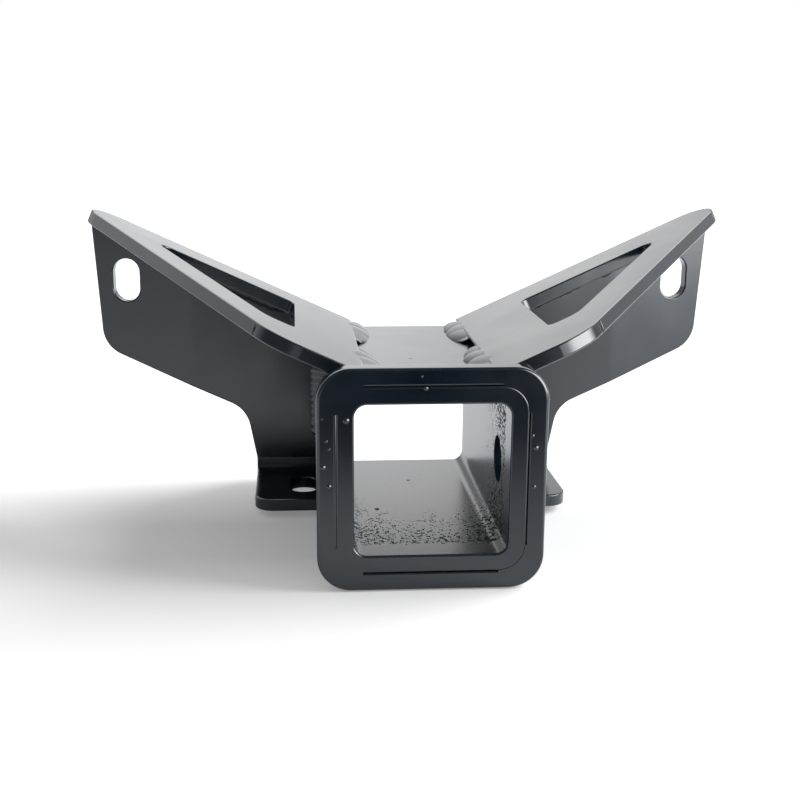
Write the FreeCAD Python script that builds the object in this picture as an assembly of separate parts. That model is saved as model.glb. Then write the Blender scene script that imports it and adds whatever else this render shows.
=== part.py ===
"""Square-tube receiver hitch: a welded steel bracket that bolts to the rear of a vehicle frame.

Frame: X to the right, Y from the mouth towards the vehicle, Z up, millimetres.
The origin is the centre of the receiver's mouth, on its front face.
"""
import FreeCAD
import Part
import math
import os

V = FreeCAD.Vector

# Receiver tube
tube_width = 63.5
tube_wall = 6.0
tube_length = 117.5
tube_corner_radius = 9.0
opening_corner_radius = 4.3
mouth_edge_radius = 0.7

# Hitch pin hole, through both side walls
pin_diameter = 15.9
pin_clearance = 0.6
pin_setback = 26.0

# Collar ring around the mouth
collar_band = 6.3
collar_thickness = 6.35
collar_corner_radius = 11.5
collar_fit = 0.15
collar_edge_radius = 1.1

# Gusset plates, sloping up and out from the top of the tube
wing_slope = 24.5
gusset_thickness = 5.0
gusset_seat_inset = 6.05
gusset_seat_lap = 2.4
gusset_rear_setback = 2.5
gusset_shoulder = 29.0
gusset_shoulder_radius = 20.0
gusset_diagonal_angle = 49.8
gusset_tip_radius = 11.0
plate_edge_radius = 0.6

# Window cut in each gusset
window_inner_rim = 22.9
window_rear_rim = 21.5
window_front_rim = 29.7
window_diagonal_rim = 15.9
window_corner_radius = 2.6
window_shoulder_radius = 9.0
window_tip_radius = 3.5

# Wing brackets: web, bolting ear and foot, bent from one sheet
bracket_thickness = 4.8
wing_depth = 45.8
ear_bend_reach = 53.75
ear_bend_angle = 6.8
ear_bend_radius = 6.0
ear_length = 36.4
ear_edge_lean = 3.3
ear_corner_radius = 12.0
ear_slot_width = 10.6
ear_slot_length = 17.0
ear_slot_reach = 26.2
ear_slot_drop = 18.5
neck_lean = 10.8
neck_fillet = 13.0
foot_width = 29.0
foot_length = 47.0
foot_bend_radius = 5.0
foot_corner_radius = 7.5
foot_slot_width = 10.0
foot_slot_length = 20.5
foot_slot_inset = 9.9
foot_slot_front_land = 10.0

# Weld beads
gusset_weld_leg = 6.0
gusset_weld_front_start = 6.0
gusset_weld_front_length = 41.6
gusset_weld_rear_length = 36.4
gusset_weld_rear_land = 0.6
web_weld_leg = 6.4
web_weld_length = 36.5
web_weld_foot_clearance = 17.2
stitch_weld_leg = 4.0
stitch_weld_start = 24.5
stitch_weld_inner_length = 29.5
stitch_weld_gap = 1.0
stitch_weld_outer_length = 11.5
collar_weld_leg = 4.0
collar_weld_length = 30.0
weld_crown = 0.9

# Sizes worked out from the driving dimensions
tube_half = tube_width / 2
opening_half = tube_half - tube_wall
pin_hole_radius = (pin_diameter + pin_clearance) / 2
collar_half = tube_half + collar_band
slope = math.radians(wing_slope)
gusset_front = collar_thickness
gusset_rear = tube_length - gusset_rear_setback
web_rear = gusset_rear
web_front = web_rear - bracket_thickness
seat_x = tube_half - gusset_seat_inset
corner_centre = tube_half - tube_corner_radius
seat_rise = max(seat_x - corner_centre, 0.0)
seat_z = corner_centre + math.sqrt(tube_corner_radius ** 2 - seat_rise ** 2)
ear_bend_x = tube_half + ear_bend_reach
foot_outer_x = tube_half + foot_width
foot_top = -tube_half + bracket_thickness
bend_top = foot_top + foot_bend_radius
CUT_MARGIN = 5.0
SHARP_ANGLE = math.radians(30)


def underside_height(x):
    """Height of a gusset's underside at a distance x from the centre plane."""
    return seat_z + (x - seat_x) * math.tan(slope)


def rounded_wire(corners):
    """Closed wire in the XY plane through (x, y, radius) corners, each rounded by its own radius."""
    count = len(corners)
    starts = []
    middles = []
    ends = []
    for i, (x, y, radius) in enumerate(corners):
        corner = V(x, y, 0)
        before = (V(*corners[i - 1][:2], 0) - corner).normalize()
        after = (V(*corners[(i + 1) % count][:2], 0) - corner).normalize()
        half_angle = before.getAngle(after) / 2
        tangent = radius / math.tan(half_angle)
        bisector = (before + after).normalize()
        starts.append(corner + before * tangent)
        middles.append(corner + bisector * (radius / math.sin(half_angle) - radius))
        ends.append(corner + after * tangent)
    edges = []
    for i, (x, y, radius) in enumerate(corners):
        if radius > 0:
            edges.append(Part.Arc(starts[i], middles[i], ends[i]).toShape())
        edges.append(Part.makeLine(ends[i], starts[(i + 1) % count]))
    return Part.Wire(edges)


def prism(corners, height):
    """Solid of a rounded outline, raised along +Z from the XY plane."""
    return Part.Face(rounded_wire(corners)).extrude(V(0, 0, height))


def axes_placement(x_axis, y_axis, origin):
    """Placement that sends local X and Y to the given axes, with local Z square to both."""
    z_axis = x_axis.cross(y_axis)
    rows = []
    for k in range(3):
        rows += [x_axis[k], y_axis[k], z_axis[k], origin[k]]
    return FreeCAD.Placement(FreeCAD.Matrix(*rows, 0, 0, 0, 1))


def placed(shape, x_axis, y_axis, origin):
    """A shape moved from where it is, so that its local axes lie along the given ones."""
    moved = shape.copy()
    moved.Placement = axes_placement(x_axis, y_axis, origin).multiply(shape.Placement)
    return moved


def square_corners(half, radius):
    """Rounded corners of a square centred on the origin."""
    return [(half, -half, radius), (half, half, radius), (-half, half, radius), (-half, -half, radius)]


def square_bar(half, radius, start, length):
    """Square bar along Y, from start, with rounded long edges."""
    return placed(prism(square_corners(half, radius), length), V(-1, 0, 0), V(0, 0, 1), V(0, start, 0))


def slot_tool(width, length, depth):
    """Slot with half-round ends along local Y, centred on the origin and cut both ways along local Z."""
    radius = width / 2
    straight = (length - width) / 2
    edges = [
        Part.makeLine(V(radius, -straight, 0), V(radius, straight, 0)),
        Part.Arc(V(radius, straight, 0), V(0, straight + radius, 0), V(-radius, straight, 0)).toShape(),
        Part.makeLine(V(-radius, straight, 0), V(-radius, -straight, 0)),
        Part.Arc(V(-radius, -straight, 0), V(0, -straight - radius, 0), V(radius, -straight, 0)).toShape(),
    ]
    return Part.Face(Part.Wire(edges)).extrude(V(0, 0, 2 * depth)).translated(V(0, 0, -depth))


def sharp_edges(shape):
    """Edges of a solid where two faces meet at more than the smallest angle that counts as sharp."""
    faces_at = {}
    for face in shape.Faces:
        for edge in face.Edges:
            faces_at.setdefault(edge.hashCode(), []).append((face, edge))
    found = []
    for pair in faces_at.values():
        if len(pair) != 2:
            continue
        edge = pair[0][1]
        middle = edge.valueAt((edge.FirstParameter + edge.LastParameter) / 2)
        normals = [face.normalAt(*face.Surface.parameter(middle)) for face, shared in pair]
        if normals[0].getAngle(normals[1]) > SHARP_ANGLE:
            found.append(edge)
    return found


def softened(shape, radius):
    """A solid with its sharp edges rounded, as a thick powder coat leaves them."""
    return shape.makeFillet(radius, sharp_edges(shape))


def mirrored(shape):
    """The left-hand twin of a right-hand piece."""
    return shape.mirror(V(0, 0, 0), V(1, 0, 0))


def receiver_tube():
    """Square tube with its opening, its pin hole and softened mouth edges."""
    tube = square_bar(tube_half, tube_corner_radius, 0, tube_length)
    opening = square_bar(opening_half, opening_corner_radius, -CUT_MARGIN, tube_length + 2 * CUT_MARGIN)
    tube = softened(tube.cut(opening), mouth_edge_radius)
    pin_tool = Part.makeCylinder(pin_hole_radius, 2 * tube_width, V(-tube_width, pin_setback, 0), V(1, 0, 0))
    return tube.cut(pin_tool)


def mouth_collar():
    """Flat ring cut from plate, flush with the mouth and close around the tube."""
    ring = square_bar(collar_half, collar_corner_radius, 0, collar_thickness)
    ring = softened(ring, collar_edge_radius)
    hole_half = tube_half + collar_fit
    hole_radius = tube_corner_radius + collar_fit
    hole = square_bar(hole_half, hole_radius, -CUT_MARGIN, collar_thickness + 2 * CUT_MARGIN)
    return softened(ring.cut(hole), mouth_edge_radius)


def on_gusset(shape):
    """A shape drawn on the flat plate (X out along the slope, Y to the rear), set in place on the right."""
    along = V(math.cos(slope), 0, math.sin(slope))
    return placed(shape, along, V(0, 1, 0), V(seat_x, 0, seat_z))


def gusset_plate():
    """Right gusset: a flat plate with a shoulder, a diagonal front edge, a round tip and a window.

    Its inner end laps over the tube's top and is coped to the tube's corner.
    """
    rise = math.tan(math.radians(gusset_diagonal_angle))
    tip = gusset_shoulder + (gusset_rear - gusset_front) / rise
    outline = [
        (-gusset_seat_lap, gusset_front, 0),
        (gusset_shoulder, gusset_front, gusset_shoulder_radius),
        (tip, gusset_rear, gusset_tip_radius),
        (-gusset_seat_lap, gusset_rear, 0),
    ]
    plate = prism(outline, gusset_thickness)
    window_front = gusset_front + window_front_rim
    window_rear = gusset_rear - window_rear_rim
    rim_shift = window_diagonal_rim / math.sin(math.radians(gusset_diagonal_angle))
    diagonal_start = gusset_shoulder - rim_shift + window_front_rim / rise
    diagonal_end = diagonal_start + (window_rear - window_front) / rise
    window = [
        (window_inner_rim, window_front, window_corner_radius),
        (diagonal_start, window_front, window_shoulder_radius),
        (diagonal_end, window_rear, window_tip_radius),
        (window_inner_rim, window_rear, window_corner_radius),
    ]
    tool = prism(window, gusset_thickness + 2 * CUT_MARGIN).translated(V(0, 0, -CUT_MARGIN))
    plate = on_gusset(softened(plate.cut(tool), plate_edge_radius))
    return plate.cut(square_bar(tube_half, tube_corner_radius, 0, tube_length))


def wing_sheet():
    """Plan of the bent web and ear, raised to a tall wall: straight web, small bend, ear swept back."""
    turn = math.radians(ear_bend_angle)
    inner_radius = ear_bend_radius
    outer_radius = ear_bend_radius + bracket_thickness
    centre = V(ear_bend_x, web_front + outer_radius, 0)
    reach = ear_length + bracket_thickness + CUT_MARGIN

    def around(radius, angle):
        return centre + V(radius * math.sin(angle), -radius * math.cos(angle), 0)

    along = V(math.cos(turn), math.sin(turn), 0)
    front = [around(outer_radius, share * turn) for share in (0, 0.5, 1)]
    rear = [around(inner_radius, share * turn) for share in (0, 0.5, 1)]
    front_end = front[2] + along * reach
    rear_end = rear[2] + along * reach
    web_start_front = V(tube_half, web_front, 0)
    web_start_rear = V(tube_half, web_rear, 0)
    edges = [
        Part.makeLine(web_start_front, front[0]),
        Part.Arc(*front).toShape(),
        Part.makeLine(front[2], front_end),
        Part.makeLine(front_end, rear_end),
        Part.makeLine(rear_end, rear[2]),
        Part.Arc(*reversed(rear)).toShape(),
        Part.makeLine(rear[0], web_start_rear),
        Part.makeLine(web_start_rear, web_start_front),
    ]
    height = 4 * tube_width
    return Part.Face(Part.Wire(edges)).extrude(V(0, 0, height)).translated(V(0, 0, -height / 2))


def wing_profile():
    """Front view of the web and ear, above the foot's bend, as a thick slab along Y."""
    drop = wing_depth / math.cos(slope)
    ear_turn = math.radians(ear_bend_angle)
    ear_end_x = ear_bend_x + ear_length * math.cos(ear_turn)
    lean = math.tan(math.radians(ear_edge_lean))
    neck = math.tan(math.radians(neck_lean))
    rise = math.tan(slope)
    lower_at_bend = underside_height(ear_bend_x) - drop
    end_height = lower_at_bend + (ear_end_x - ear_bend_x) * rise
    top_x = ear_end_x + (underside_height(ear_end_x) - end_height) * lean / (1 - lean * rise)
    crotch_x = (foot_outer_x + neck * (lower_at_bend - ear_bend_x * rise - bend_top)) / (1 - neck * rise)
    crotch_z = lower_at_bend + (crotch_x - ear_bend_x) * rise
    outline = [
        (tube_half, bend_top, 0),
        (foot_outer_x, bend_top, 0),
        (crotch_x, crotch_z, neck_fillet),
        (ear_end_x, end_height, ear_corner_radius),
        (top_x, underside_height(top_x), 0),
        (tube_half, underside_height(tube_half), 0),
    ]
    slab_depth = 2 * tube_length
    return placed(prism(outline, slab_depth), V(1, 0, 0), V(0, 0, 1), V(0, 1.5 * tube_length, 0))


def foot_fold():
    """Foot and its bend: an L-section run along X, with a round outer front corner and a bolt slot."""
    outer_radius = foot_bend_radius + bracket_thickness
    centre = V(web_rear - outer_radius, bend_top, 0)
    foot_front = web_rear - foot_length
    diagonal = math.sqrt(0.5)
    edges = [
        Part.makeLine(V(foot_front, -tube_half, 0), V(centre.x, -tube_half, 0)),
        Part.Arc(
            V(centre.x, -tube_half, 0),
            centre + V(diagonal, -diagonal, 0) * outer_radius,
            V(web_rear, bend_top, 0),
        ).toShape(),
        Part.makeLine(V(web_rear, bend_top, 0), V(web_front, bend_top, 0)),
        Part.Arc(
            V(web_front, bend_top, 0),
            centre + V(diagonal, -diagonal, 0) * foot_bend_radius,
            V(centre.x, foot_top, 0),
        ).toShape(),
        Part.makeLine(V(centre.x, foot_top, 0), V(foot_front, foot_top, 0)),
        Part.makeLine(V(foot_front, foot_top, 0), V(foot_front, -tube_half, 0)),
    ]
    fold = Part.Face(Part.Wire(edges)).extrude(V(0, 0, foot_width))
    fold = placed(fold, V(0, 1, 0), V(0, 0, 1), V(tube_half, 0, 0))
    plan = [
        (tube_half, foot_front, 0),
        (foot_outer_x, foot_front, foot_corner_radius),
        (foot_outer_x, web_rear + CUT_MARGIN, 0),
        (tube_half, web_rear + CUT_MARGIN, 0),
    ]
    fold = fold.common(prism(plan, 2 * tube_width).translated(V(0, 0, -tube_width)))
    slot_y = foot_front + foot_slot_front_land + foot_slot_length / 2
    slot = slot_tool(foot_slot_width, foot_slot_length, bracket_thickness * 2)
    return fold.cut(slot.translated(V(tube_half + foot_slot_inset, slot_y, foot_top)))


def wing_bracket():
    """Right wing bracket: web, swept-back ear with an upright slot, and a forward foot with a slot."""
    turn = math.radians(ear_bend_angle)
    wing = wing_sheet().common(wing_profile())
    along = V(math.cos(turn), math.sin(turn), 0)
    slot_centre = V(ear_bend_x, web_front, 0) + along * ear_slot_reach
    slot_z = underside_height(slot_centre.x) - ear_slot_drop
    slot = slot_tool(ear_slot_width, ear_slot_length, 3 * bracket_thickness)
    wing = wing.cut(placed(slot, along, V(0, 0, 1), V(slot_centre.x, slot_centre.y, slot_z)))
    return softened(wing.fuse(foot_fold()).removeSplitter(), plate_edge_radius)


def crowned_section(start, end, root):
    """Face of a bead's section in the XY plane: a bowed free surface from start to end, and its root."""
    chord = end - start
    outward = V(chord.y, -chord.x, 0).normalize()
    middle = start + chord * 0.5
    if (middle + outward - root).Length < (middle - outward - root).Length:
        outward = outward * -1
    crown = middle + outward * weld_crown
    edges = [
        Part.Arc(start, crown, end).toShape(),
        Part.makeLine(end, root),
        Part.makeLine(root, start),
    ]
    return Part.Face(Part.Wire(edges))


def gusset_weld(start, length, tube, gusset):
    """Bead along Y in the corner between the top of the tube and a gusset's inner edge."""
    top_x = seat_x - gusset_thickness * math.sin(slope) - gusset_seat_lap * math.cos(slope)
    top_z = seat_z + gusset_thickness * math.cos(slope) - gusset_seat_lap * math.sin(slope)
    toe = V(top_x - gusset_weld_leg, tube_half, 0)
    crest = V(top_x, top_z, 0)
    root = V(seat_x, seat_z - tube_wall / 2, 0)
    section = crowned_section(toe, crest, root)
    bead = placed(section.extrude(V(0, 0, length)), V(1, 0, 0), V(0, 0, 1), V(0, start + length, 0))
    return bead.cut(tube).cut(gusset)


def web_weld(tube):
    """Upright bead in the corner between the side of the tube and the front of the web."""
    toe = V(tube_half - tube_wall / 2, web_front - web_weld_leg, 0)
    crest = V(tube_half + web_weld_leg, web_front, 0)
    section = crowned_section(toe, crest, V(tube_half - tube_wall / 2, web_front, 0))
    bead = section.extrude(V(0, 0, web_weld_length))
    return bead.translated(V(0, 0, -tube_half + web_weld_foot_clearance)).cut(tube)


def stitch_weld(start, length):
    """Bead out along the corner between a gusset's underside and the front of the web."""
    toe = V(web_front - stitch_weld_leg, 0, 0)
    crest = V(web_front, -stitch_weld_leg, 0)
    section = crowned_section(toe, crest, V(web_front, 0, 0))
    bead = placed(section.extrude(V(0, 0, length)), V(0, 1, 0), V(0, 0, 1), V(start, 0, 0))
    return on_gusset(bead)


def collar_weld(outward):
    """Bead in the corner behind the collar, on the face of the tube that looks outward."""
    toe = V(tube_half, collar_thickness + collar_weld_leg, 0)
    crest = V(tube_half + collar_weld_leg, collar_thickness, 0)
    section = crowned_section(toe, crest, V(tube_half, collar_thickness, 0))
    bead = section.extrude(V(0, 0, collar_weld_length)).translated(V(0, 0, -collar_weld_length / 2))
    return placed(bead, outward, V(0, 1, 0), V(0, 0, 0))


def both_sides(name, right_piece):
    """A right-hand piece and its left-hand twin, by name."""
    return {"right_" + name: right_piece, "left_" + name: mirrored(right_piece)}


def build():
    """Every piece of the hitch, by node name."""
    tube = receiver_tube()
    gusset = gusset_plate()
    rear_weld_start = gusset_rear - gusset_weld_rear_land - gusset_weld_rear_length
    front_weld_start = gusset_front + gusset_weld_front_start
    outer_stitch_start = stitch_weld_start + stitch_weld_inner_length + stitch_weld_gap
    pieces = {"receiver_tube": tube, "mouth_collar": mouth_collar()}
    pieces.update(both_sides("gusset", gusset))
    pieces.update(both_sides("wing_bracket", wing_bracket()))
    front_weld = gusset_weld(front_weld_start, gusset_weld_front_length, tube, gusset)
    rear_weld = gusset_weld(rear_weld_start, gusset_weld_rear_length, tube, gusset)
    pieces.update(both_sides("gusset_weld_front", front_weld))
    pieces.update(both_sides("gusset_weld_rear", rear_weld))
    pieces.update(both_sides("web_weld", web_weld(tube)))
    pieces.update(both_sides("stitch_weld_inner", stitch_weld(stitch_weld_start, stitch_weld_inner_length)))
    pieces.update(both_sides("stitch_weld_outer", stitch_weld(outer_stitch_start, stitch_weld_outer_length)))
    pieces.update(both_sides("collar_weld", collar_weld(V(1, 0, 0))))
    pieces["lower_collar_weld"] = collar_weld(V(0, 0, -1))
    return pieces


def main():
    """Writes one file per piece."""
    os.makedirs("parts", exist_ok=True)
    for name, shape in build().items():
        shape.exportStep("parts/" + name + ".step")
        print(name, "solids", len(shape.Solids), "volume", round(shape.Volume, 1), "valid", shape.isValid())


main()
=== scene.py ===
"""Looks of the receiver hitch: a black powder-coated steel weldment on a pale studio floor.

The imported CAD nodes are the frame. The tube, the collar, the gussets and the wing brackets keep their CAD
meshes and get their finish here. Each plain CAD weld is replaced by a rippled bead, and the small marks that
cutting, welding and coating leave on the steel are pieces of their own.
"""

import logging
import math
import random
from collections.abc import Callable
from dataclasses import dataclass, field
from enum import Enum

import bpy
from mathutils import Matrix, Vector


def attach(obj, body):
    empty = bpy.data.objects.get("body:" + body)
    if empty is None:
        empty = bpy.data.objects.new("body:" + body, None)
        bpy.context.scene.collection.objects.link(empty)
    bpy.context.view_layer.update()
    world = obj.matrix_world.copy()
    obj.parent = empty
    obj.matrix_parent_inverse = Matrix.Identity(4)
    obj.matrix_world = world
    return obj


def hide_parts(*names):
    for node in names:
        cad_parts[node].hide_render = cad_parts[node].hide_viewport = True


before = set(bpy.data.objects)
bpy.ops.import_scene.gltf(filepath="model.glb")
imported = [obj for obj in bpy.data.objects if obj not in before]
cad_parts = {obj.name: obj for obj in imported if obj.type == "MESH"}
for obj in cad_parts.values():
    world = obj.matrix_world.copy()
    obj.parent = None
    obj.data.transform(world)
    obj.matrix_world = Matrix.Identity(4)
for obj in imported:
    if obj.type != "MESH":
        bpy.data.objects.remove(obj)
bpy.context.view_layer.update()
MM = 0.001
BODY = "root"
# The span that most of a noise's values fill
NOISE_SPAN = (0.3, 0.7)
LOG = logging.getLogger("receiver_hitch")


class Side(Enum):
    """The two hands of the hitch, by the sign of X."""

    LEFT = -1
    RIGHT = 1


class Slot(Enum):
    """The record's material slots."""

    PLATE = "powder_coat"
    WELD = "coated_weld"


class Ray(Enum):
    """The kinds of ray that the studio treats apart, as Light Path names them."""

    CAMERA = "Is Camera Ray"
    GLOSSY = "Is Glossy Ray"
    TRANSMISSION = "Is Transmission Ray"


def linear(code: str) -> tuple[float, float, float, float]:
    """Turn a colour from sRGB hex to linear.

    Args:
        code: the colour as "#rrggbb".

    Returns:
        Linear red, green, blue and an alpha of 1.
    """
    channels = [int(code[i:i + 2], 16) / 255 for i in (1, 3, 5)]
    red, green, blue = [c / 12.92 if c <= 0.04045 else ((c + 0.055) / 1.055) ** 2.4 for c in channels]
    return red, green, blue, 1.0


def add_node(tree: bpy.types.NodeTree, kind: str, inputs: dict | None = None,
             **settings: object) -> bpy.types.Node:
    """Add one node with its settings and its links.

    Args:
        tree: the node tree that takes the node.
        kind: the node's type.
        inputs: for each input, by name or number, a value or the socket that feeds it.
        **settings: the node's own settings.

    Returns:
        The new node.
    """
    node = tree.nodes.new(kind)
    for name, value in settings.items():
        setattr(node, name, value)
    for name, value in (inputs or {}).items():
        if isinstance(value, bpy.types.NodeSocket):
            tree.links.new(value, node.inputs[name])
        else:
            node.inputs[name].default_value = value
    return node


def add_math(tree: bpy.types.NodeTree, operation: str, *values: object) -> bpy.types.NodeSocket:
    """Add one piece of arithmetic.

    Args:
        tree: the node tree that takes the node.
        operation: what is done with the values.
        *values: the numbers, or the sockets that feed them, in order.

    Returns:
        The socket with the result.
    """
    return add_node(tree, "ShaderNodeMath", dict(enumerate(values)), operation=operation).outputs["Value"]


def add_range(tree: bpy.types.NodeTree, value: bpy.types.NodeSocket, low: float, high: float,
              amounts: tuple = (0.0, 1.0), **settings: object) -> bpy.types.NodeSocket:
    """Add a ramp from one amount to another, which holds its end amounts beyond both ends.

    Args:
        tree: the node tree that takes the node.
        value: the value that is looked up.
        low: the value where the ramp starts.
        high: the value where it ends.
        amounts: the numbers or sockets to give at its start and its end.
        **settings: the node's own settings.

    Returns:
        The socket with the amount.
    """
    inputs = {"Value": value, "From Min": low, "From Max": high, "To Min": amounts[0], "To Max": amounts[1]}
    return add_node(tree, "ShaderNodeMapRange", inputs, **settings).outputs["Result"]


def add_blend(tree: bpy.types.NodeTree, factor: bpy.types.NodeSocket, first: object, second: object,
              kind: str = "FLOAT") -> bpy.types.NodeSocket:
    """Add a blend of two values.

    Args:
        tree: the node tree that takes the node.
        factor: how much of the second value there is.
        first: the first value or socket.
        second: the second value or socket.
        kind: the values' data type.

    Returns:
        The socket with the blend.
    """
    inputs = {"Factor": factor, "A": first, "B": second}
    return add_node(tree, "ShaderNodeMix", inputs, data_type=kind).outputs["Result"]


def add_noise(tree: bpy.types.NodeTree, place: bpy.types.NodeSocket, size_mm: float,
              detail: float) -> bpy.types.NodeSocket:
    """Add a soft noise.

    Args:
        tree: the node tree that takes the node.
        place: the coordinates.
        size_mm: the size of its spots.
        detail: how many finer layers it has.

    Returns:
        The socket with the noise.
    """
    inputs = {"Vector": place, "Scale": 1 / (size_mm * MM), "Detail": detail}
    return add_node(tree, "ShaderNodeTexNoise", inputs).outputs["Fac"]


def add_bump(tree: bpy.types.NodeTree, height: bpy.types.NodeSocket, height_mm: float,
             under: bpy.types.NodeSocket | None = None) -> bpy.types.NodeSocket:
    """Add a relief.

    Args:
        tree: the node tree that takes the node.
        height: the relief, from 0 to 1.
        height_mm: how high 1 is.
        under: the normal of the relief that it lies on, if any.

    Returns:
        The socket with the normal.
    """
    inputs = {"Height": height, "Strength": 1.0, "Distance": height_mm * MM}
    if under is not None:
        inputs["Normal"] = under
    return add_node(tree, "ShaderNodeBump", inputs).outputs["Normal"]


def add_profile(tree: bpy.types.NodeTree, value: bpy.types.NodeSocket,
                points: tuple[tuple[float, float], ...]) -> bpy.types.NodeSocket:
    """Add a straight-lined profile: it turns a value into an amount by a list of points.

    Args:
        tree: the node tree that takes the nodes.
        value: the value that is looked up.
        points: pairs of value and amount, from the lowest value up.

    Returns:
        The socket with the amount.
    """
    low, high = points[0][0], points[-1][0]
    ramp = add_node(tree, "ShaderNodeValToRGB", {"Fac": add_range(tree, value, low, high)})
    stops = ramp.color_ramp.elements
    for _ in points[2:]:
        stops.new(0.5)
    for stop, (position, amount) in zip(stops, points):
        stop.position = (position - low) / (high - low)
        stop.color = (amount, amount, amount, 1.0)
    return ramp.outputs["Color"]


def new_material(name: str) -> tuple[bpy.types.Material, bpy.types.NodeTree]:
    """Make an empty node material.

    Args:
        name: the material's name.

    Returns:
        The material and its node tree.
    """
    material = bpy.data.materials.new(name)
    material.use_nodes = True
    material.node_tree.nodes.clear()
    return material, material.node_tree


def deselect_all() -> None:
    """Leave object mode with nothing selected."""
    if bpy.context.mode != "OBJECT":
        bpy.ops.object.mode_set(mode="OBJECT")
    bpy.ops.object.select_all(action="DESELECT")


def make_active(obj: bpy.types.Object) -> None:
    """Select one object alone and make it active.

    Args:
        obj: the object.
    """
    deselect_all()
    obj.select_set(True)
    bpy.context.view_layer.objects.active = obj


def select_where(obj: bpy.types.Object, test: Callable[[Vector], bool]) -> None:
    """Select an object's points by their place and enter edit mode on them.

    Args:
        obj: the object, in object mode.
        test: a function of a point's place that says if the point is taken.
    """
    make_active(obj)
    bpy.ops.object.mode_set(mode="EDIT")
    bpy.ops.mesh.select_mode(type="VERT")
    bpy.ops.mesh.select_all(action="DESELECT")
    bpy.ops.object.mode_set(mode="OBJECT")
    for vertex in obj.data.vertices:
        vertex.select = test(vertex.co)
    bpy.ops.object.mode_set(mode="EDIT")


def apply_modifier(obj: bpy.types.Object, kind: str, **settings: object) -> None:
    """Add a modifier to an object and apply it.

    Args:
        obj: the object.
        kind: the modifier's type.
        **settings: the modifier's settings.
    """
    make_active(obj)
    modifier = obj.modifiers.new(kind.lower(), kind)
    for name, value in settings.items():
        setattr(modifier, name, value)
    bpy.ops.object.modifier_apply(modifier=modifier.name)


def copy_to(obj: bpy.types.Object, place: Matrix) -> bpy.types.Object:
    """Copy a modelled piece, with its own mesh, to a new place.

    Args:
        obj: the piece that is copied.
        place: the copy's place, turn and size.

    Returns:
        The copy, with its place in its mesh.
    """
    copy = obj.copy()
    copy.data = obj.data.copy()
    bpy.context.scene.collection.objects.link(copy)
    copy.data.transform(place)
    return copy


def join(parts: list[bpy.types.Object], name: str) -> bpy.types.Object:
    """Join parts into one piece.

    Args:
        parts: the parts.
        name: the piece's name.

    Returns:
        The joined piece.
    """
    deselect_all()
    for part in parts:
        part.select_set(True)
    bpy.context.view_layer.objects.active = parts[0]
    if len(parts) > 1:
        bpy.ops.object.join()
    piece = bpy.context.view_layer.objects.active
    piece.name = name
    piece.data.name = name
    return piece


def tidy_mesh(obj: bpy.types.Object) -> None:
    """Merge doubles, turn the faces outwards and shade the piece smooth.

    Args:
        obj: the piece.
    """
    make_active(obj)
    bpy.ops.object.mode_set(mode="EDIT")
    bpy.ops.mesh.select_all(action="SELECT")
    bpy.ops.mesh.remove_doubles(threshold=0.000005)
    bpy.ops.mesh.normals_make_consistent(inside=False)
    bpy.ops.object.mode_set(mode="OBJECT")
    bpy.ops.object.shade_smooth()


def dress(obj: bpy.types.Object, material: bpy.types.Material) -> None:
    """Give an object one material."""
    obj.data.materials.clear()
    obj.data.materials.append(material)


def settle(piece: bpy.types.Object, slot: Slot, *nodes: str) -> None:
    """Put a finished piece on the hitch.

    Args:
        piece: the finished piece.
        slot: the record's slot of its finish; it is not used.
        *nodes: the CAD nodes that it stands for.
    """
    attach(piece, BODY)
    if nodes:
        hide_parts(*nodes)
    LOG.info("%s: %d faces", piece.name, len(piece.data.polygons))


@dataclass(frozen=True)
class PowderCoat:
    """Black polyester powder, sprayed on blasted steel and cured in an oven.

    It flows out to a hard, even black gloss with a faint orange peel. It has no grain of its own, so its look is
    nearly all reflection: near black seen face on, pale grey seen along the surface.
    """

    name: str = "black_powder_coat_on_steel"
    colour: str = "#0a141d"
    faded: str = "#101b25"
    roughness: float = 0.17
    roughness_spread: float = 0.035
    ior: float = 1.6
    peel_mm: float = 2.6
    peel_height_mm: float = 0.006
    grit_mm: float = 0.55
    grit_height_mm: float = 0.0012
    cloud_mm: float = 24.0

    def material(self) -> bpy.types.Material:
        """Make the material with its peel, its clouds and whatever the surface adds.

        Returns:
            The finished material.
        """
        material, tree = new_material(self.name)
        place = add_node(tree, "ShaderNodeTexCoord").outputs["Object"]
        cloud = add_noise(tree, place, self.cloud_mm, detail=3.0)
        peel = add_noise(tree, place, self.peel_mm, detail=1.0)
        grit = add_noise(tree, place, self.grit_mm, detail=1.0)
        colour = add_blend(tree, cloud, linear(self.colour), linear(self.faded), "RGBA")
        smoothest, roughest = self.roughness - self.roughness_spread, self.roughness + self.roughness_spread
        rough = add_range(tree, cloud, *NOISE_SPAN, (smoothest, roughest))
        bump = add_bump(tree, peel, self.peel_height_mm)
        bump = add_bump(tree, grit, self.grit_height_mm, bump)
        colour, rough, bump, ior = self.surface(tree, place, colour, rough, bump)
        shader = add_node(tree, "ShaderNodeBsdfPrincipled", {"Base Color": colour, "Roughness": rough,
                                                             "IOR": ior, "Normal": bump})
        add_node(tree, "ShaderNodeOutputMaterial", {"Surface": shader.outputs["BSDF"]})
        return material

    def surface(self, tree: bpy.types.NodeTree, place: bpy.types.NodeSocket, colour: bpy.types.NodeSocket,
                rough: bpy.types.NodeSocket, bump: bpy.types.NodeSocket) -> tuple:
        """Add nothing: an open surface takes the powder evenly.

        Args:
            tree: the material's node tree.
            place: the Object coordinates.
            colour: the colour so far.
            rough: the roughness so far.
            bump: the normal so far.

        Returns:
            The colour, the roughness, the normal and the index of refraction to use.
        """
        return colour, rough, bump, self.ior


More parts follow.
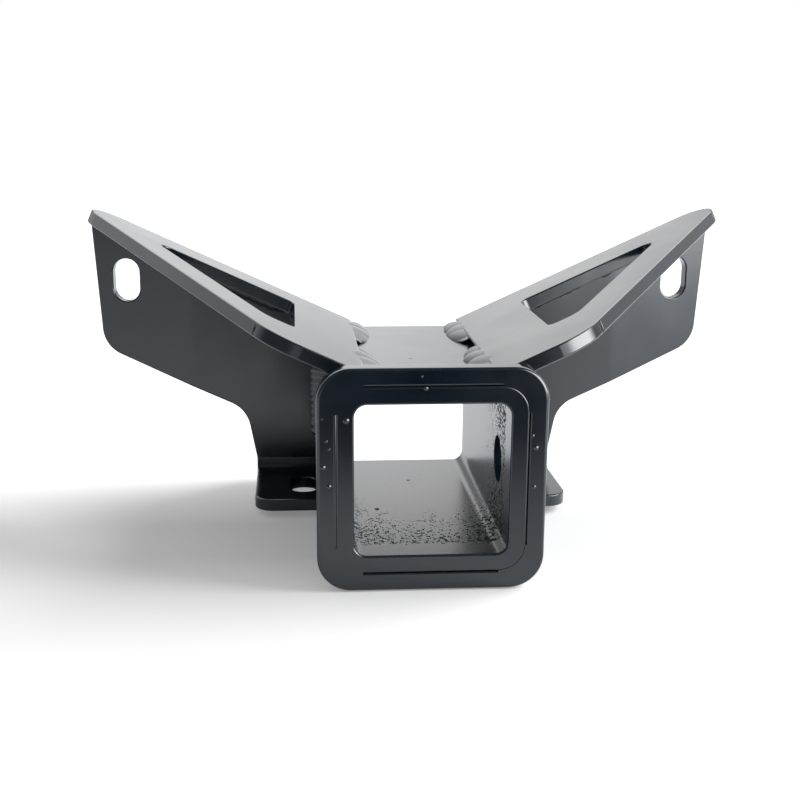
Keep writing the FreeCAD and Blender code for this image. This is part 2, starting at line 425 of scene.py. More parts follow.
@dataclass(frozen=True)
class SocketCoat(PowderCoat):
    """The same powder coat on the receiver tube, whose socket is hard to spray.

    The charged powder hardly reaches into the socket and builds up in beads there, so the walls are peppered with
    black specks from just behind the mouth, thick at first and along the corners, and thinning out deeper in.
    Each of the amounts pairs a depth in metres with how thickly the specks lie there.
    """

    name: str = "black_powder_coat_in_socket"
    half_opening_mm: float = 25.95
    rim_mm: float = 0.75
    clean_lip_mm: float = 9.5
    lip_fade_mm: float = 3.0
    amounts: tuple = ((0.004, 1.7), (0.016, 1.3), (0.030, 0.85), (0.046, 0.4), (0.070, 0.12))
    corner_span: tuple[float, float] = (0.010, 0.024)
    corner_gain: float = 0.022
    patch_mm: float = 9.0
    patch_reach: float = 0.010
    speck_mm: float = 0.74
    speck_stretch: tuple[float, float, float] = (1.0, 0.6, 1.0)
    speck_chances: tuple[float, float] = (0.1, 1.0)
    speck_reach: float = 0.6
    speck_edge: float = 0.16
    speck_height_mm: float = 0.25
    speck_colour: str = "#040506"
    speck_roughness: float = 0.9
    dry_roughness: float = 0.27
    dry_ior: float = 2.0

    def amount(self, tree: bpy.types.NodeTree, place: bpy.types.NodeSocket, depth: bpy.types.NodeSocket,
               narrowest: bpy.types.NodeSocket) -> bpy.types.NodeSocket:
        """Work out how thickly the specks lie: by depth, more along the corners, and with ragged limits.

        Args:
            tree: the material's node tree.
            place: the Object coordinates.
            depth: the distance behind the mouth.
            narrowest: the smaller distance from the socket's two middle planes, large only in a corner.

        Returns:
            The amount at each place.
        """
        corner = add_range(tree, narrowest, *self.corner_span, (0.0, self.corner_gain))
        patch = add_noise(tree, place, self.patch_mm, detail=2.0)
        wander = add_range(tree, patch, *NOISE_SPAN, (-self.patch_reach, self.patch_reach))
        felt_depth = add_math(tree, "ADD", add_math(tree, "SUBTRACT", depth, corner), wander)
        lip = add_range(tree, depth, self.clean_lip_mm * MM, (self.clean_lip_mm + self.lip_fade_mm) * MM)
        return add_math(tree, "MULTIPLY", lip, add_profile(tree, felt_depth, self.amounts))

    def specks(self, tree: bpy.types.NodeTree, place: bpy.types.NodeSocket,
               amount: bpy.types.NodeSocket) -> bpy.types.NodeSocket:
        """Draw the specks: one dot in each cell, of a size that chance and the amount set.

        Args:
            tree: the material's node tree.
            place: the Object coordinates.
            amount: how thickly the specks lie.

        Returns:
            1 on a speck, 0 beside it.
        """
        stretched = add_node(tree, "ShaderNodeVectorMath", {0: place, 1: self.speck_stretch}, operation="MULTIPLY")
        cells = add_node(tree, "ShaderNodeTexVoronoi", {"Vector": stretched.outputs["Vector"],
                                                        "Scale": 1 / (self.speck_mm * MM)}).outputs
        chance = add_node(tree, "ShaderNodeSeparateColor", {"Color": cells["Color"]}).outputs["Red"]
        reach = add_range(tree, chance, *self.speck_chances, (0.0, self.speck_reach))
        size = add_math(tree, "MULTIPLY", reach, amount)
        return add_range(tree, add_math(tree, "SUBTRACT", size, cells["Distance"]), 0.0, self.speck_edge)

    def surface(self, tree: bpy.types.NodeTree, place: bpy.types.NodeSocket, colour: bpy.types.NodeSocket,
                rough: bpy.types.NodeSocket, bump: bpy.types.NodeSocket) -> tuple:
        """Pepper the socket's walls.

        Args:
            tree: the material's node tree.
            place: the Object coordinates.
            colour: the colour so far.
            rough: the roughness so far.
            bump: the normal so far.

        Returns:
            The colour, the roughness, the normal and the index of refraction with the specks in them.
        """
        axes = add_node(tree, "ShaderNodeSeparateXYZ", {"Vector": place}).outputs
        across, upright = [add_math(tree, "ABSOLUTE", axes[axis]) for axis in ("X", "Z")]
        widest = add_math(tree, "MAXIMUM", across, upright)
        narrowest = add_math(tree, "MINIMUM", across, upright)
        within = add_math(tree, "LESS_THAN", widest, self.half_opening_mm * MM)
        behind = add_math(tree, "GREATER_THAN", axes["Y"], self.rim_mm * MM)
        inside = add_math(tree, "MULTIPLY", within, behind)
        amount = add_math(tree, "MULTIPLY", self.amount(tree, place, axes["Y"], narrowest), inside)
        speck = self.specks(tree, place, amount)
        colour = add_blend(tree, speck, colour, linear(self.speck_colour), "RGBA")
        rough = add_blend(tree, inside, rough, self.dry_roughness)
        rough = add_range(tree, speck, 0.0, 1.0, (rough, self.speck_roughness))
        bump = add_bump(tree, speck, self.speck_height_mm, bump)
        ior = add_blend(tree, inside, self.ior, self.dry_ior)
        return colour, rough, bump, ior


@dataclass(frozen=True)
class StudioPaper:
    """White seamless paper, matt and even, which clips to white in the light and goes grey in the shadow.

    It glows a little towards the camera, more in front of the hitch and behind it, which narrows the shadow.
    Seen in the gloss of the coat it is bright beside the hitch and falls away to the dark room in front of it.
    Lifts and tones pair a depth in metres with an amount. A step is a direction on the floor, by its shares of X
    and Y, and the span in metres over which the tone rises that way.
    """

    name: str = "white_studio_paper"
    colour: str = "#f4f4f4"
    lifts: tuple = ((-0.03, 0.22), (0.008, 0.21), (0.032, 0.14), (0.062, 0.14), (0.085, 0.24), (0.13, 0.47))
    tint: tuple[float, float, float] = (0.97, 1.0, 1.035)
    front_tones: tuple = ((-0.33, 0.0), (-0.22, 0.18), (-0.126, 0.82), (-0.01, 1.25))
    left_tones: tuple = ((-0.42, 0.95), (-0.10, 1.2))
    left_steps: tuple = (((-1.0, 0.0), (0.044, 0.065)), ((-1.0, 0.194), (-0.062, -0.046)))
    right_tones: tuple = ((-1.0, 4.6), (-0.72, 1.75))
    right_steps: tuple = (((1.0, 0.2), (0.05, 0.09)),)

    def mirrored_tone(self, tree: bpy.types.NodeTree, place: bpy.types.NodeSocket,
                      depth: bpy.types.NodeSocket) -> bpy.types.NodeSocket:
        """Work out how bright the paper is where the coat mirrors it: dark far in front, bright at both sides.

        Args:
            tree: the material's node tree.
            place: the Object coordinates.
            depth: the distance behind the mouth.

        Returns:
            The tone at each place.
        """
        tone = add_profile(tree, depth, self.front_tones)
        for tones, steps in ((self.left_tones, self.left_steps), (self.right_tones, self.right_steps)):
            zone = add_profile(tree, depth, tones)
            for (x_share, y_share), (low, high) in steps:
                reach = add_node(tree, "ShaderNodeVectorMath", {0: place, 1: (x_share, y_share, 0.0)},
                                 operation="DOT_PRODUCT").outputs["Value"]
                step = add_range(tree, reach, low, high, interpolation_type="SMOOTHSTEP")
                zone = add_math(tree, "MULTIPLY", zone, step)
            tone = add_math(tree, "MAXIMUM", tone, zone)
        tinted = add_node(tree, "ShaderNodeVectorMath", {0: self.tint, "Scale": tone}, operation="SCALE")
        return tinted.outputs["Vector"]

    def material(self) -> bpy.types.Material:
        """Make the paper's material.

        Returns:
            The finished material.
        """
        material, tree = new_material(self.name)
        place = add_node(tree, "ShaderNodeTexCoord").outputs["Object"]
        depth = add_node(tree, "ShaderNodeSeparateXYZ", {"Vector": place}).outputs["Y"]
        rays = add_node(tree, "ShaderNodeLightPath").outputs
        mirrored = add_math(tree, "MAXIMUM", rays[Ray.GLOSSY.value], rays[Ray.TRANSMISSION.value])
        colour = add_blend(tree, mirrored, linear(self.colour), self.mirrored_tone(tree, place, depth), "RGBA")
        paper = add_node(tree, "ShaderNodeBsdfDiffuse", {"Color": colour}).outputs["BSDF"]
        lift = add_math(tree, "MULTIPLY", rays[Ray.CAMERA.value], add_profile(tree, depth, self.lifts))
        shine = add_node(tree, "ShaderNodeEmission", {"Strength": lift}).outputs["Emission"]
        whole = add_node(tree, "ShaderNodeAddShader", {0: paper, 1: shine})
        add_node(tree, "ShaderNodeOutputMaterial", {"Surface": whole.outputs["Shader"]})
        material.cycles.emission_sampling = "NONE"
        return material


@dataclass
class Studio:
    """The pale floor, the soft light from the right, the white room and the camera.

    Lengths are in metres and angles in degrees. Glows, shares and heights pair one part of a direction, upwards or
    to the right, with an amount.
    """

    floor_half: float = 4.0
    front_rest_mm: tuple[float, float] = (6.0, -38.1)
    rear_rest_mm: tuple[float, float] = (117.5, -31.8)
    sun_place: tuple[float, float, float] = (1.0, 0.0, 0.6)
    sun_strength: float = 5.2
    sun_elevation: float = 25.0
    sun_azimuth: float = 11.0
    sun_spread: float = 60.0
    ambient: float = 0.40
    back_glows: tuple = ((0.156, 1.3), (0.27, 1.75), (0.29, 1.7), (0.345, 0.95))
    side_shares: tuple = ((-0.9, 1.05), (-0.5, 0.3), (-0.13, 0.3), (-0.05, 1.0), (0.08, 1.0), (0.18, 0.75))
    overhead_glows: tuple = ((0.40, 0.0), (0.75, 4.5))
    front_glow: float = 0.22
    back_span: tuple[float, float] = (-0.25, 0.3)
    softbox_toward: tuple[float, float, float] = (0.80, -0.60, 0.0)
    softbox_half_angles: tuple[float, float] = (14.0, 37.0)
    softbox_heights: tuple = ((-0.1, 0.6), (0.0, 1.0), (0.45, 1.0), (0.55, 0.0))
    softbox_glow: float = 13.0
    focal_px: float = 1235.8
    frame_px: float = 800.0
    principal_px: tuple[float, float] = (378.5, 431.0)
    eye: tuple[float, float, float] = (-0.04413, -0.38672, 0.1170)
    right: tuple[float, float, float] = (0.997749, -0.067045, 0.003383)
    up: tuple[float, float, float] = (0.013444, 0.248927, 0.968434)
    back: tuple[float, float, float] = (-0.065771, -0.966200, 0.249270)

    def lay_floor(self) -> None:
        """Lay the paper under the hitch's resting line: the collar's lower edge in front, the tube behind."""
        (y0, z0), (y1, z1) = self.front_rest_mm, self.rear_rest_mm
        slope = math.atan2(z1 - z0, y1 - y0)
        deselect_all()
        bpy.ops.mesh.primitive_plane_add(size=2 * self.floor_half, location=(0, y0 * MM, z0 * MM),
                                         rotation=(slope, 0, 0))
        floor = bpy.context.active_object
        floor.name = "studio_floor"
        bpy.ops.object.transform_apply(location=True, rotation=True, scale=True)
        bpy.ops.object.mode_set(mode="EDIT")
        bpy.ops.mesh.subdivide(number_cuts=7)
        bpy.ops.object.mode_set(mode="OBJECT")
        dress(floor, StudioPaper().material())

    def hang_light(self) -> None:
        """Hang the soft light at the right, which throws the shadow."""
        deselect_all()
        bpy.ops.object.light_add(type="SUN", location=self.sun_place)
        sun = bpy.context.active_object
        sun.name = "soft_light_right"
        sun.data.energy = self.sun_strength
        sun.data.angle = math.radians(self.sun_spread)
        sun.rotation_euler = (0, math.radians(90 - self.sun_elevation), math.radians(self.sun_azimuth))
        sun.visible_glossy = False

    def softbox(self, tree: bpy.types.NodeTree, toward: bpy.types.NodeSocket) -> bpy.types.NodeSocket:
        """Work out how much of the right-hand softbox there is in each direction, regardless of height.

        Args:
            tree: the room's node tree.
            toward: the direction.

        Returns:
            The softbox's brightness.
        """
        level = add_node(tree, "ShaderNodeVectorMath", {0: toward, 1: (1.0, 1.0, 0.0)}, operation="MULTIPLY")
        level = add_node(tree, "ShaderNodeVectorMath", {0: level.outputs["Vector"]}, operation="NORMALIZE")
        aim = Vector(self.softbox_toward).normalized()
        facing = add_node(tree, "ShaderNodeVectorMath", {0: level.outputs["Vector"], 1: aim},
                          operation="DOT_PRODUCT")
        inner, outer = [math.cos(math.radians(angle)) for angle in self.softbox_half_angles]
        return add_range(tree, facing.outputs["Value"], outer, inner, (0.0, self.softbox_glow),
                         interpolation_type="SMOOTHSTEP")

    def paint_room(self) -> None:
        """Set the white room: what the coat mirrors, what lights the shadow and the white that the camera sees."""
        world = bpy.data.worlds.new("white_room")
        bpy.context.scene.world = world
        world.use_nodes = True
        world.cycles.sampling_method = "NONE"
        tree = world.node_tree
        tree.nodes.clear()
        toward = add_node(tree, "ShaderNodeTexCoord").outputs["Generated"]
        axes = add_node(tree, "ShaderNodeSeparateXYZ", {"Vector": toward}).outputs
        glow = add_profile(tree, axes["Z"], self.back_glows)
        share = add_profile(tree, axes["X"], self.side_shares)
        overhead = add_profile(tree, axes["Z"], self.overhead_glows)
        back = add_math(tree, "MULTIPLY_ADD", glow, share, overhead)
        wall = add_range(tree, axes["Y"], *self.back_span, (self.front_glow, back),
                         interpolation_type="SMOOTHSTEP")
        height = add_profile(tree, axes["Z"], self.softbox_heights)
        wall = add_math(tree, "MULTIPLY_ADD", self.softbox(tree, toward), height, wall)
        rays = add_node(tree, "ShaderNodeLightPath").outputs
        amount = add_blend(tree, rays[Ray.GLOSSY.value], self.ambient, wall)
        seen = add_math(tree, "MAXIMUM", rays[Ray.CAMERA.value], rays[Ray.TRANSMISSION.value])
        amount = add_blend(tree, seen, amount, 1.0)
        shade = add_node(tree, "ShaderNodeBackground", {"Color": (1.0, 1.0, 1.0, 1.0), "Strength": amount})
        add_node(tree, "ShaderNodeOutputWorld", {"Surface": shade.outputs["Background"]})

    def place_camera(self) -> None:
        """Stand the camera where the photograph was taken from."""
        deselect_all()
        bpy.ops.object.camera_add(location=self.eye)
        camera = bpy.context.active_object
        camera.name = "photo_camera"
        turn = Matrix((self.right, self.up, self.back)).transposed().to_4x4()
        camera.matrix_world = Matrix.Translation(self.eye) @ turn
        camera.data.sensor_width = 36.0
        camera.data.lens = self.focal_px / self.frame_px * camera.data.sensor_width
        camera.data.shift_x = (self.frame_px / 2 - self.principal_px[0]) / self.frame_px
        camera.data.shift_y = (self.principal_px[1] - self.frame_px / 2) / self.frame_px
        camera.data.clip_start = 0.01
        bpy.context.scene.camera = camera
        bpy.context.scene.view_settings.view_transform = "Standard"


@dataclass
class RippledBead:
    """One weld bead: overlapping ripples of metal that the torch left along a corner, melted into one run.

    Sizes are in millimetres. Those that end in _share are shares of the pitch.
    """

    name: str
    start: Vector
    end: Vector
    across: Vector
    outward: Vector
    half_width: float
    rise: float
    sink: float
    pitch: float
    lean: float = 2.6
    twist: float = 8.0
    chance: float = 0.07
    seed: int = 1
    voxel: float = 0.2
    crown: float = 0.8
    end_drop: float = 0.78
    end_share: float = 0.75
    spare_share: float = 0.8
    wander_share: float = 0.12
    length_share: float = 0.86
    stretches: tuple[float, float] = (0.94, 1.1)

    def ripple(self) -> bpy.types.Object:
        """Model one ripple: a round puddle with a nearly flat top and a steep rim.

        Returns:
            The ripple, one unit in radius, with its length on X, its width on Y and its rise on Z.
        """
        deselect_all()
        bpy.ops.mesh.primitive_uv_sphere_add(segments=28, ring_count=16, radius=1.0)
        ripple = bpy.context.active_object
        select_where(ripple, lambda p: p.z > 0.25)
        bpy.ops.transform.resize(value=(1.0, 1.0, 0.3))
        bpy.ops.transform.translate(value=(-0.06, 0.0, 0.0))
        bpy.ops.object.mode_set(mode="OBJECT")
        return ripple

    def build(self) -> bpy.types.Object:
        """Lay the ripples along the corner and melt them together.

        Returns:
            The bead.
        """
        dice = random.Random(self.seed)
        run = self.end - self.start
        length = run.length
        along = run.normalized()
        count = max(2, round((length - self.spare_share * self.pitch) / self.pitch) + 1)
        step = (length - 2 * self.end_share * self.pitch) / (count - 1)
        turn = Matrix((along, self.across, self.outward)).transposed().to_4x4()
        tip = Matrix.Rotation(math.radians(self.lean), 4, "Y")
        ripple = self.ripple()
        copies = []
        for number in range(count):
            wander = dice.uniform(-self.wander_share, self.wander_share) * self.pitch
            spot = self.end_share * self.pitch + number * step + wander
            swell = 1 + dice.uniform(-self.chance, self.chance)
            if number in (0, count - 1):
                swell *= self.end_drop
            half_length = self.length_share * self.pitch * dice.uniform(*self.stretches)
            height = (self.rise + self.sink) / self.crown * swell
            size = Matrix.Diagonal((half_length, self.half_width * swell, height, 1.0))
            twist = Matrix.Rotation(math.radians(dice.uniform(-self.twist, self.twist)), 4, "Z")
            middle = self.start + along * spot - self.outward * self.sink
            place = Matrix.Translation(middle) @ turn @ twist @ tip @ size
            copies.append(copy_to(ripple, Matrix.Scale(MM, 4) @ place))
        bpy.data.objects.remove(ripple)
        bead = join(copies, self.name)
        tidy_mesh(bead)
        apply_modifier(bead, "REMESH", mode="VOXEL", voxel_size=self.voxel * MM)
        apply_modifier(bead, "SMOOTH", factor=0.5, iterations=2)
        tidy_mesh(bead)
        return bead


@dataclass
class WeldSet:
    """All the welds of the hitch, each in place of its CAD node. Sizes are in millimetres."""

    tube_half: float = 31.75
    seat_toe: tuple[float, float] = (14.8, 31.75)
    seat_crest: tuple[float, float] = (24.0, 35.97)
    seat_front_y: tuple[float, float] = (12.35, 53.95)
    seat_rear_y: tuple[float, float] = (78.0, 114.4)
    seat_margin: float = 0.4
    seat_rise: float = 0.14
    seat_sink: float = 1.2
    seat_pitch: float = 10.4
    seat_seeds: tuple[int, int] = (11, 21)
    web_front_y: float = 110.2
    web_legs: tuple[float, float] = (6.4, 5.2)
    web_z: tuple[float, float] = (-14.55, 21.95)
    web_margin: float = 1.5
    web_rise: float = 0.5
    web_sink: float = 1.6
    web_pitch: float = 2.6
    web_chance: float = 0.015
    web_seed: int = 31
    wing_slope: float = 24.5
    under_offset: float = 5.495
    plate_rise: tuple[float, float] = (39.5, 0.4557)
    stitch_inner_x: tuple[float, float] = (48.0, 74.8)
    stitch_outer_x: tuple[float, float] = (75.7, 86.2)
    stitch_leg: float = 4.0
    stitch_pitch: float = 3.6
    stitch_seed: int = 47
    collar_y: tuple[float, float] = (6.35, 10.35)
    collar_half_length: float = 15.0
    collar_pitch: float = 3.8
    collar_seed: int = 61
    throat_share: float = 0.72
    corner_margin: float = 0.4
    corner_rise: float = 0.6
    corner_sink: float = 1.3
    coat: PowderCoat = field(default_factory=lambda: PowderCoat(
        name="black_powder_coat_on_weld", roughness=0.2, peel_height_mm=0.012))

    def seat_bead(self, side: Side, part: str, span: tuple[float, float], seed: int) -> RippledBead:
        """Describe a bead along a gusset's inner edge on top of the tube.

        Args:
            side: the hand.
            part: "front" or "rear".
            span: where it starts and ends along Y.
            seed: the number that sets its chance.

        Returns:
            The bead.
        """
        toe, crest = Vector(self.seat_toe), Vector(self.seat_crest)
        middle, slope = (toe + crest) / 2, (crest - toe).normalized()
        sign = side.value
        start, end = [Vector((sign * middle.x, y, middle.y)) for y in reversed(span)]
        return RippledBead(
            name=f"{side.name.lower()}_gusset_weld_{part}_bead", start=start, end=end,
            across=Vector((sign * slope.x, 0, slope.y)), outward=Vector((-sign * slope.y, 0, slope.x)),
            half_width=(crest - toe).length / 2 + self.seat_margin, rise=self.seat_rise, sink=self.seat_sink,
            pitch=self.seat_pitch, seed=seed + sign)

    def web_bead(self, side: Side) -> RippledBead:
        """Describe the upright bead in the corner of tube and web.

        Args:
            side: the hand.

        Returns:
            The bead.
        """
        sign = side.value
        leg_x, leg_y = self.web_legs
        x, y = self.tube_half + leg_x / 2, self.web_front_y - leg_y / 2
        start, end = [Vector((sign * x, y, z)) for z in self.web_z]
        return RippledBead(
            name=f"{side.name.lower()}_web_weld_bead", start=start, end=end,
            across=Vector((sign * leg_x, leg_y, 0)).normalized(),
            outward=Vector((sign * leg_y, -leg_x, 0)).normalized(),
            half_width=math.hypot(leg_x, leg_y) / 2 + self.web_margin, rise=self.web_rise, sink=self.web_sink,
            pitch=self.web_pitch, lean=0.0, twist=0.0, chance=self.web_chance, seed=self.web_seed + sign)

    def corner_bead(self, name: str, start: Vector, end: Vector, outward: Vector, leg: float, pitch: float,
                    seed: int) -> RippledBead:
        """Describe a small bead of even legs in a corner.

        Args:
            name: the bead's name.
            start: where the middle of its face starts.
            end: where the middle of its face ends.
            outward: the direction that its face looks.
            leg: how far it reaches along each side of the corner.
            pitch: the ripples' spacing.
            seed: the number that sets its chance.

        Returns:
            The bead.
        """
        across = outward.cross((end - start).normalized()).normalized()
        return RippledBead(
            name=name, start=start, end=end, across=across, outward=outward,
            half_width=leg * self.throat_share + self.corner_margin, rise=self.corner_rise, sink=self.corner_sink,
            pitch=pitch, seed=seed)

    def stitch_bead(self, side: Side, part: str, span: tuple[float, float]) -> RippledBead:
        """Describe a bead in the corner under a gusset, along the web's front.

        Args:
            side: the hand.
            part: "inner" or "outer".
            span: where it starts and ends along X.

        Returns:
            The bead.
        """
        sign = side.value
        slope = math.radians(self.wing_slope)
        down = Vector((sign * math.sin(slope), 0, -math.cos(slope)))
        open_side = down - Vector((0, 1, 0))
        base, rate = self.plate_rise
        ends = []
        for x in span:
            z = base + rate * (x - self.tube_half) - self.under_offset
            ends.append(Vector((sign * x, self.web_front_y, z)) + open_side * (self.stitch_leg / 2))
        return self.corner_bead(f"{side.name.lower()}_stitch_weld_{part}_bead", ends[0], ends[1],
                                open_side.normalized(), self.stitch_leg, self.stitch_pitch,
                                self.stitch_seed + sign + len(part))

    def collar_bead(self, name: str, face: Vector, along: Vector) -> RippledBead:
        """Describe a short bead behind the collar.

        Args:
            name: the bead's name.
            face: the direction that the tube's face looks.
            along: the direction that the bead runs.

        Returns:
            The bead.
        """
        leg = self.collar_y[1] - self.collar_y[0]
        middle = face * (self.tube_half + leg / 2) + Vector((0, self.collar_y[0] + leg / 2, 0))
        reach = along * self.collar_half_length
        outward = (face + Vector((0, 1, 0))).normalized()
        return self.corner_bead(name, middle - reach, middle + reach, outward, leg, self.collar_pitch,
                                self.collar_seed + len(name))

    def build(self) -> None:
        """Lay every bead in place of its CAD node and dress it."""
        material = self.coat.material()
        up, right = Vector((0, 0, 1)), Vector((1, 0, 0))
        front_seed, rear_seed = self.seat_seeds
        beads = []
        for side in Side:
            beads.append(self.seat_bead(side, "front", self.seat_front_y, front_seed))
            beads.append(self.seat_bead(side, "rear", self.seat_rear_y, rear_seed))
            beads.append(self.web_bead(side))
            beads.append(self.stitch_bead(side, "inner", self.stitch_inner_x))
            beads.append(self.stitch_bead(side, "outer", self.stitch_outer_x))
            beads.append(self.collar_bead(f"{side.name.lower()}_collar_weld_bead", right * side.value, up))
        beads.append(self.collar_bead("lower_collar_weld_bead", -up, right))
        for plan in beads:
            bead = plan.build()
            dress(bead, material)
            settle(bead, Slot.WELD, plan.name.removesuffix("_bead"))


@dataclass
class CoatMarks:
    """Nibs in the coat, the socket's mill seam, the filled groove and the cutter's nicks.

    Sizes are in millimetres. Each nib has its place on its face and its radius.
    """

    front_nibs: tuple = ((-28.3, 20.7, 1.15), (34.0, 10.8, 1.0), (32.8, 14.9, 0.6), (-35.9, 5.1, 1.0),
                         (-34.0, -1.4, 0.9), (33.8, -2.6, 0.7), (-2.5, 31.1, 0.8), (-3.9, 35.1, 0.45),
                         (-34.8, 13.9, 0.55), (-33.9, 11.2, 0.5), (-36.2, 21.3, 0.4))
    top_nibs: tuple = ((-3.2, 47.2, 0.55), (9.5, 58.0, 0.4))
    floor_nibs: tuple = ((0.1, 87.2, 0.75), (-14.8, 50.5, 0.9))
    nib_height: float = 0.5
    tube_half: float = 31.75
    opening_half: float = 25.75
    seam_y: tuple[float, float] = (52.0, 117.0)
    seam_z: float = -1.6
    seam_width: float = 2.4
    seam_height: float = 0.05
    seam_bevel: float = 0.02
    collar_corner: float = 22.75
    open_radii: tuple[float, float] = (8.75, 9.95)
    flush_radii: tuple[float, float] = (8.2, 9.95)
    fill_depth: float = 1.2
    fill_proud: float = 0.005
    left_strip: tuple[float, float] = (32.5, 31.55)
    strip_bevel: float = 0.25
    wing_slope: float = 24.5
    nick_spot: tuple[float, float, float] = (56.62, 14.95, 50.83)
    nick_radius: float = 0.4
    nick_half_height: float = 2.35
    half_plate: float = 2.5

    def nib(self) -> bpy.types.Object:
        """Model one nib: a low dome with a soft foot, one unit in radius, standing on the plane of X and Y.

        Returns:
            The nib.
        """
        deselect_all()
        bpy.ops.mesh.primitive_uv_sphere_add(segments=14, ring_count=10, radius=1.0)
        nib = bpy.context.active_object
        select_where(nib, lambda p: p.z < 0.35)
        bpy.ops.transform.resize(value=(1.22, 1.22, 1.0))
        bpy.ops.mesh.select_all(action="SELECT")
        bpy.ops.transform.resize(value=(0.82, 0.82, 1.0))
        bpy.ops.object.mode_set(mode="OBJECT")
        return nib

    def nibs(self) -> bpy.types.Object:
        """Set the nibs on the collar's face, the tube's top and the socket's floor.

        Returns:
            All of them as one piece.
        """
        model = self.nib()
        front = Matrix.Rotation(math.radians(90), 4, "X")
        spots = [(Vector((x, 0.0, z)), front, r) for x, z, r in self.front_nibs]
        spots += [(Vector((x, y, self.tube_half)), Matrix.Identity(4), r) for x, y, r in self.top_nibs]
        spots += [(Vector((x, y, -self.opening_half)), Matrix.Identity(4), r) for x, y, r in self.floor_nibs]
        copies = []
        for spot, turn, radius in spots:
            size = Matrix.Diagonal((radius, radius, self.nib_height * min(1.0, radius) ** 2, 1.0))
            copies.append(copy_to(model, Matrix.Scale(MM, 4) @ Matrix.Translation(spot) @ turn @ size))
        bpy.data.objects.remove(model)
        piece = join(copies, "coat_nibs")
        tidy_mesh(piece)
        return piece

    def seam(self) -> bpy.types.Object:
        """Model the mill seam: a low flat ridge along the socket's right wall, which sinks into it at the front.

        Returns:
            The seam.
        """
        y0, y1 = self.seam_y
        deselect_all()
        bpy.ops.mesh.primitive_cylinder_add(vertices=48, radius=0.5, depth=1.0, rotation=(math.radians(90), 0, 0))
        seam = bpy.context.active_object
        seam.name = "socket_seam"
        bpy.ops.object.transform_apply(location=True, rotation=True, scale=True)
        middle = Vector((self.opening_half, (y0 + y1) / 2, self.seam_z)) * MM
        size = Matrix.Diagonal((2 * self.seam_height * MM, (y1 - y0) * MM, self.seam_width * MM, 1.0))
        seam.data.transform(Matrix.Translation(middle) @ size)
        select_where(seam, lambda p: p.y < middle.y)
        bpy.ops.transform.translate(value=(2 * self.seam_height * MM, 0.0, 0.0))
        bpy.ops.object.mode_set(mode="OBJECT")
        apply_modifier(seam, "BEVEL", width=self.seam_bevel * MM, segments=2, limit_method="ANGLE",
                       angle_limit=math.radians(60))
        tidy_mesh(seam)
        return seam

    def arc_fill(self, inner: float, outer: float) -> bpy.types.Object:
        """Model one quarter ring of fill, flush with the mouth's face.

        Args:
            inner: its inner radius.
            outer: its outer radius.

        Returns:
            The fill, around the origin, on the side of positive X and Z.
        """
        deselect_all()
        bpy.ops.mesh.primitive_plane_add(size=1.0)
        fill = bpy.context.active_object
        middle = Vector(((inner + outer) / 2, self.fill_depth / 2 - self.fill_proud, 0)) * MM
        size = Matrix.Diagonal(((outer - inner) * MM, self.fill_depth * MM, 1.0, 1.0))
        fill.data.transform(Matrix.Translation(middle) @ size)
        bpy.ops.object.mode_set(mode="EDIT")
        bpy.ops.mesh.select_all(action="SELECT")
        bpy.ops.mesh.spin(steps=24, angle=math.radians(90), center=(0, 0, 0), axis=(0, 1, 0), dupli=False)
        bpy.ops.object.mode_set(mode="OBJECT")
        return fill

    def groove_fill(self) -> bpy.types.Object:
        """Model the coat and filler in the collar's groove.

        It closes the left corners, leaves a thin line open round the right ones and fills most of the left side.

        Returns:
            The fills as one piece.
        """
        shift = Matrix.Translation((self.collar_corner * MM, 0, self.collar_corner * MM))
        parts = []
        for turn, radii in enumerate((self.open_radii, self.open_radii, self.flush_radii, self.flush_radii)):
            fill = self.arc_fill(*radii)
            fill.data.transform(Matrix.Rotation(math.radians(90 * turn), 4, "Y") @ shift)
            parts.append(fill)
        deselect_all()
        bpy.ops.mesh.primitive_cube_add(size=1.0)
        strip = bpy.context.active_object
        outer, inner = self.left_strip
        middle = Vector((-(outer + inner) / 2, self.fill_depth / 2 - self.fill_proud, 0)) * MM
        size = Vector((outer - inner, self.fill_depth, 2 * self.collar_corner)) * MM
        strip.data.transform(Matrix.Translation(middle) @ Matrix.Diagonal(size).to_4x4())
        apply_modifier(strip, "BEVEL", width=self.strip_bevel * MM, segments=3)
        parts.append(strip)
        piece = join(parts, "collar_groove_fill")
        tidy_mesh(piece)
        bpy.ops.object.shade_smooth_by_angle(angle=math.radians(35))
        return piece

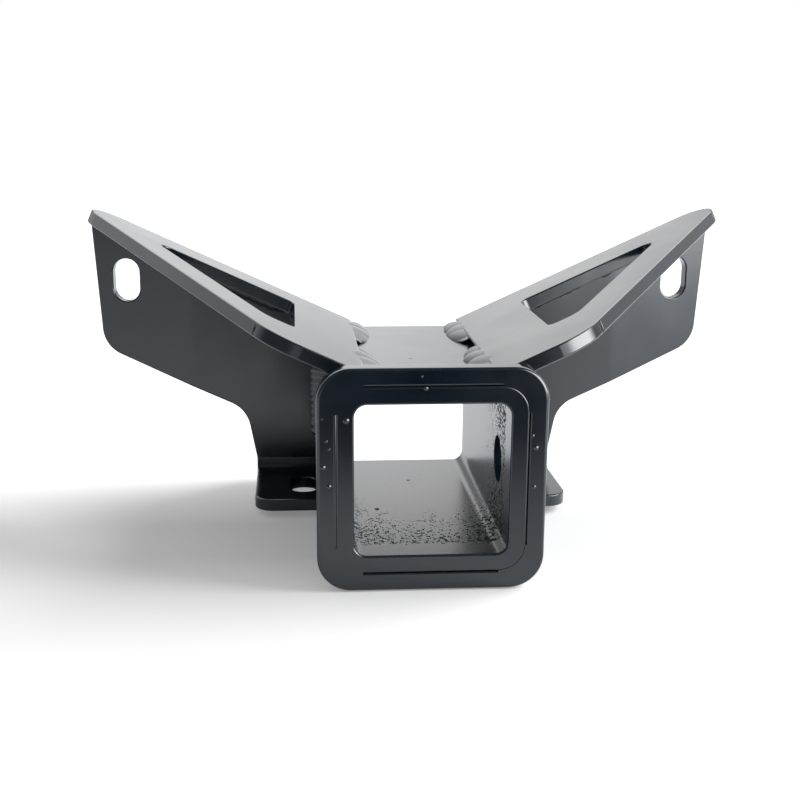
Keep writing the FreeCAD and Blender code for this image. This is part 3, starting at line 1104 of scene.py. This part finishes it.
    def cut_nicks(self) -> bpy.types.Object:
        """Model the small ridge that the cutter left where each gusset's diagonal edge begins.

        Returns:
            Both ridges as one piece.
        """
        slope = math.radians(self.wing_slope)
        model = self.nib()
        copies = []
        for side in Side:
            across = Vector((side.value * math.cos(slope), 0, math.sin(slope)))
            upright = Vector((-side.value * math.sin(slope), 0, math.cos(slope)))
            turn = Matrix((across, Vector((0, 1, 0)), upright)).transposed().to_4x4()
            x, y, z = self.nick_spot
            size = Matrix.Diagonal((self.nick_radius, self.nick_radius, self.nick_half_height, 1.0))
            place = Matrix.Translation(Vector((side.value * x, y, z)) - upright * self.half_plate) @ turn @ size
            copies.append(copy_to(model, Matrix.Scale(MM, 4) @ place))
        bpy.data.objects.remove(model)
        piece = join(copies, "cutter_nicks")
        tidy_mesh(piece)
        return piece

    def build(self, coat: bpy.types.Material, socket_coat: bpy.types.Material) -> None:
        """Set all the marks and dress them.

        Args:
            coat: the coat of the plates.
            socket_coat: the coat of the tube, for the marks in its socket.
        """
        for piece, finish in ((self.nibs(), coat), (self.seam(), socket_coat), (self.groove_fill(), coat),
                              (self.cut_nicks(), coat)):
            dress(piece, finish)
            settle(piece, Slot.PLATE)


@dataclass
class Weldment:
    """The CAD nodes that keep their meshes: the tube, the collar and the four plates."""

    plates: tuple[str, ...] = ("mouth_collar", "left_gusset", "right_gusset", "left_wing_bracket",
                               "right_wing_bracket")
    tube: str = "receiver_tube"
    coat: PowderCoat = field(default_factory=PowderCoat)
    socket_coat: SocketCoat = field(default_factory=SocketCoat)

    def dress(self) -> tuple[bpy.types.Material, bpy.types.Material]:
        """Coat the plates and the tube.

        Returns:
            The plates' coat and the tube's coat, for the small pieces on them.
        """
        plate_coat = self.coat.material()
        for name in self.plates:
            dress(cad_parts[name], plate_coat)
            LOG.info("%s coated", name)
        tube_coat = self.socket_coat.material()
        dress(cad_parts[self.tube], tube_coat)
        LOG.info("%s coated", self.tube)
        return plate_coat, tube_coat


def main() -> None:
    """Build the looks in order."""
    logging.basicConfig(level=logging.INFO, format="%(message)s")
    studio = Studio()
    studio.place_camera()
    studio.lay_floor()
    studio.hang_light()
    studio.paint_room()
    plate_coat, tube_coat = Weldment().dress()
    WeldSet().build()
    CoatMarks().build(plate_coat, tube_coat)


if __name__ == "__main__":
    main()
